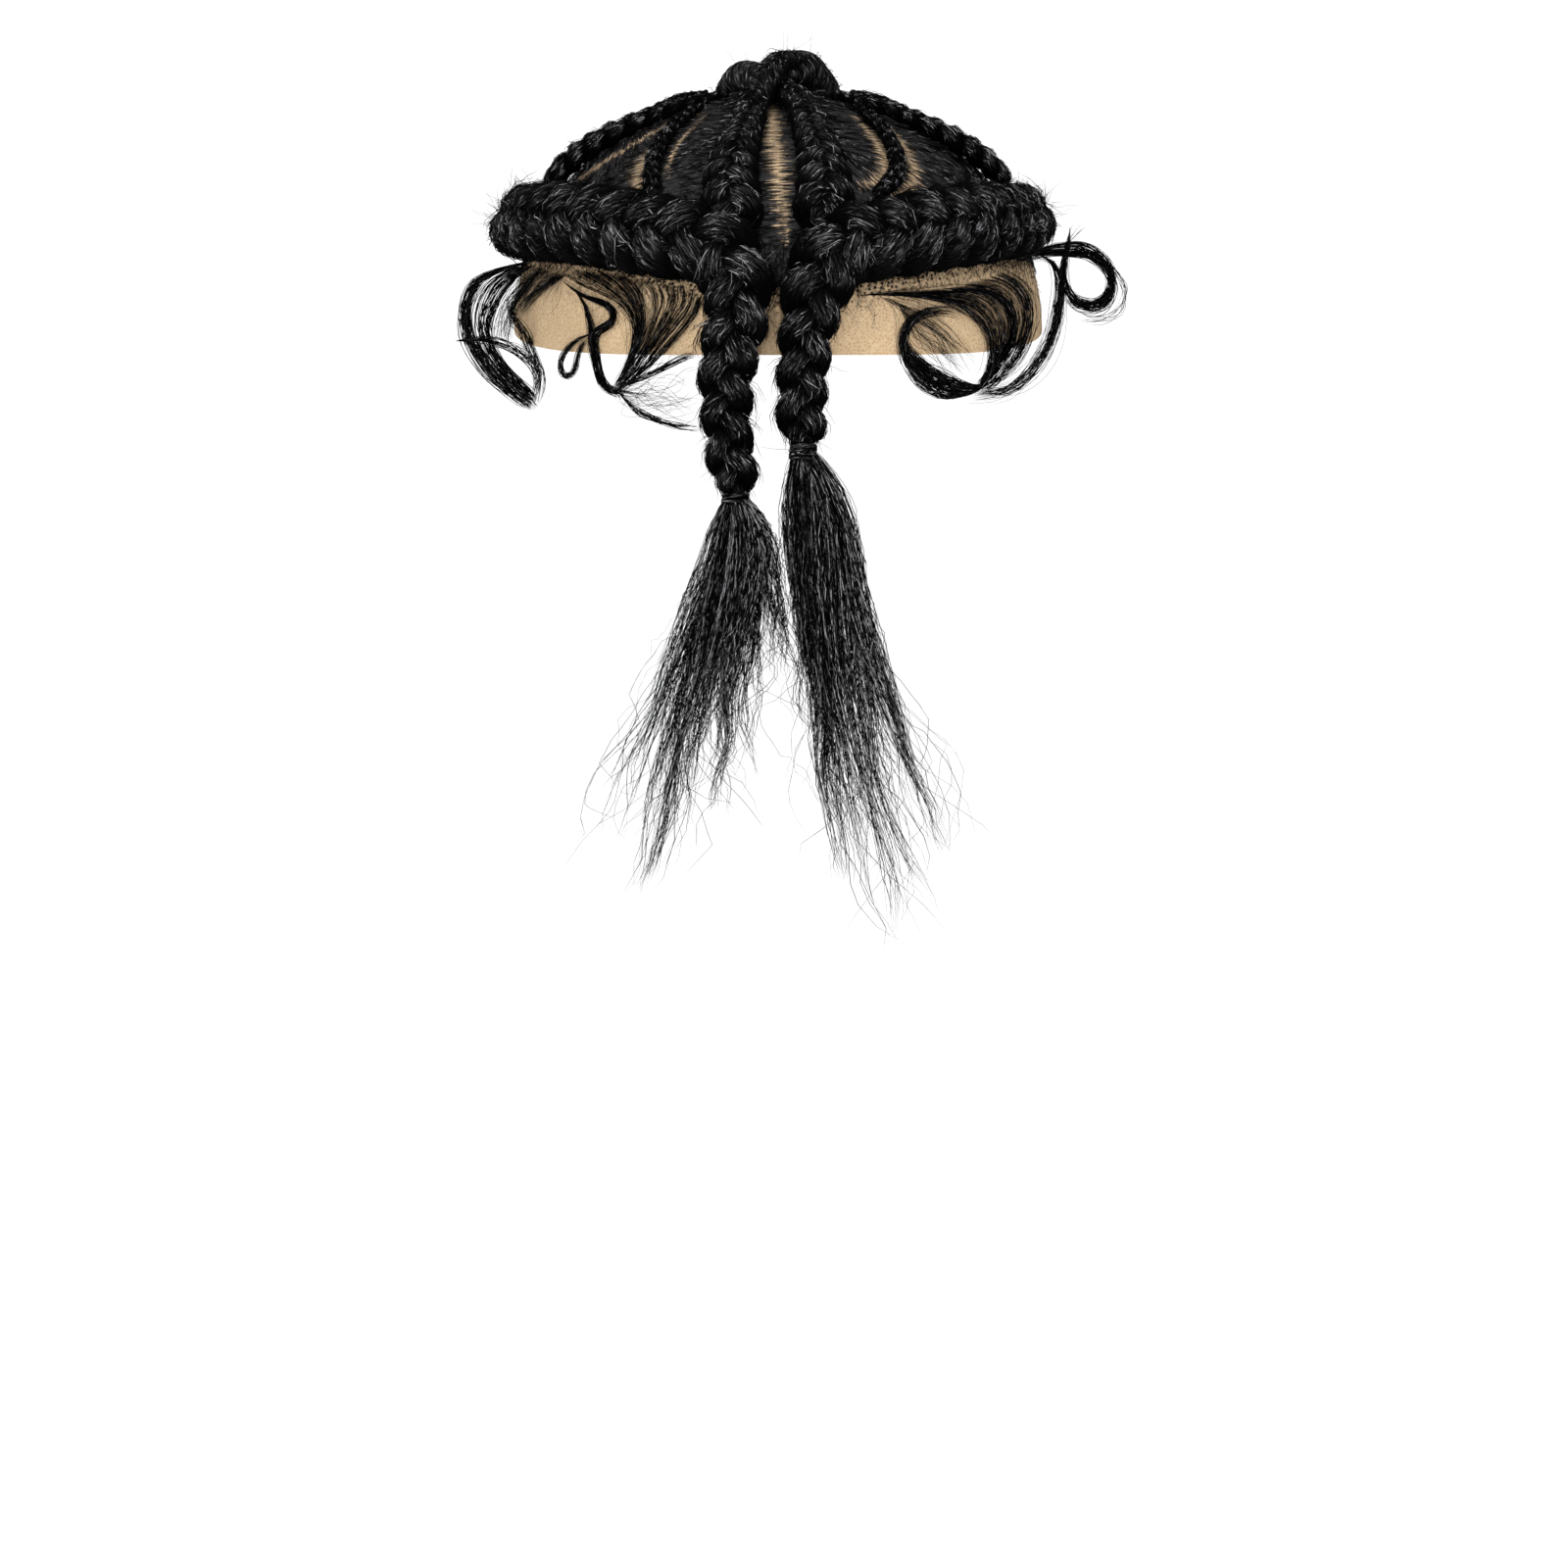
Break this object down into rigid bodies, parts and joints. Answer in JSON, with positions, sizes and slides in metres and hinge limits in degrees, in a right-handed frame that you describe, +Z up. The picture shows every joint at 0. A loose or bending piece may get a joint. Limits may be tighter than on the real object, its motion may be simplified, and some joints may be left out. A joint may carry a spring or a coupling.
{
  "type": "cornrow toupee",
  "caption": "Lace cap of black kinky hair worn as a hairpiece, with cornrow plaits that end in pigtails at the back, loose brushed tails and curled edge hair.",
  "frame": {"origin": "crown of the wearer's head, on the inside of the lace", "axes": "+Z up through the crown, the wearer faces -Y, the pigtails hang at +Y, +X is the wearer's left"},
  "size_m": [0.2024, 0.2, 0.2599],
  "materials": {
    "lace": "fine tan net",
    "hair": "kinky black hair with a soft sheen",
    "tie": "wound black hair"
  },
  "bodies": {
    "root": {"lace_base": "lace", "rim_braid_left": "hair", "rim_braid_right": "hair", "crown_braid_left": "hair", "crown_braid_right": "hair", "side_braid_left": "hair", "side_braid_right": "hair", "temple_braid_left": "hair", "temple_braid_right": "hair", "crescent_braid_left": "hair", "crescent_braid_right": "hair", "tie_left": "tie", "tie_right": "tie", "tail_left": "hair", "tail_right": "hair", "edge_swirl_left": "hair", "edge_swirl_right": "hair", "temple_curl_left": "hair", "temple_curl_right": "hair"}
  },
  "joints": []
}
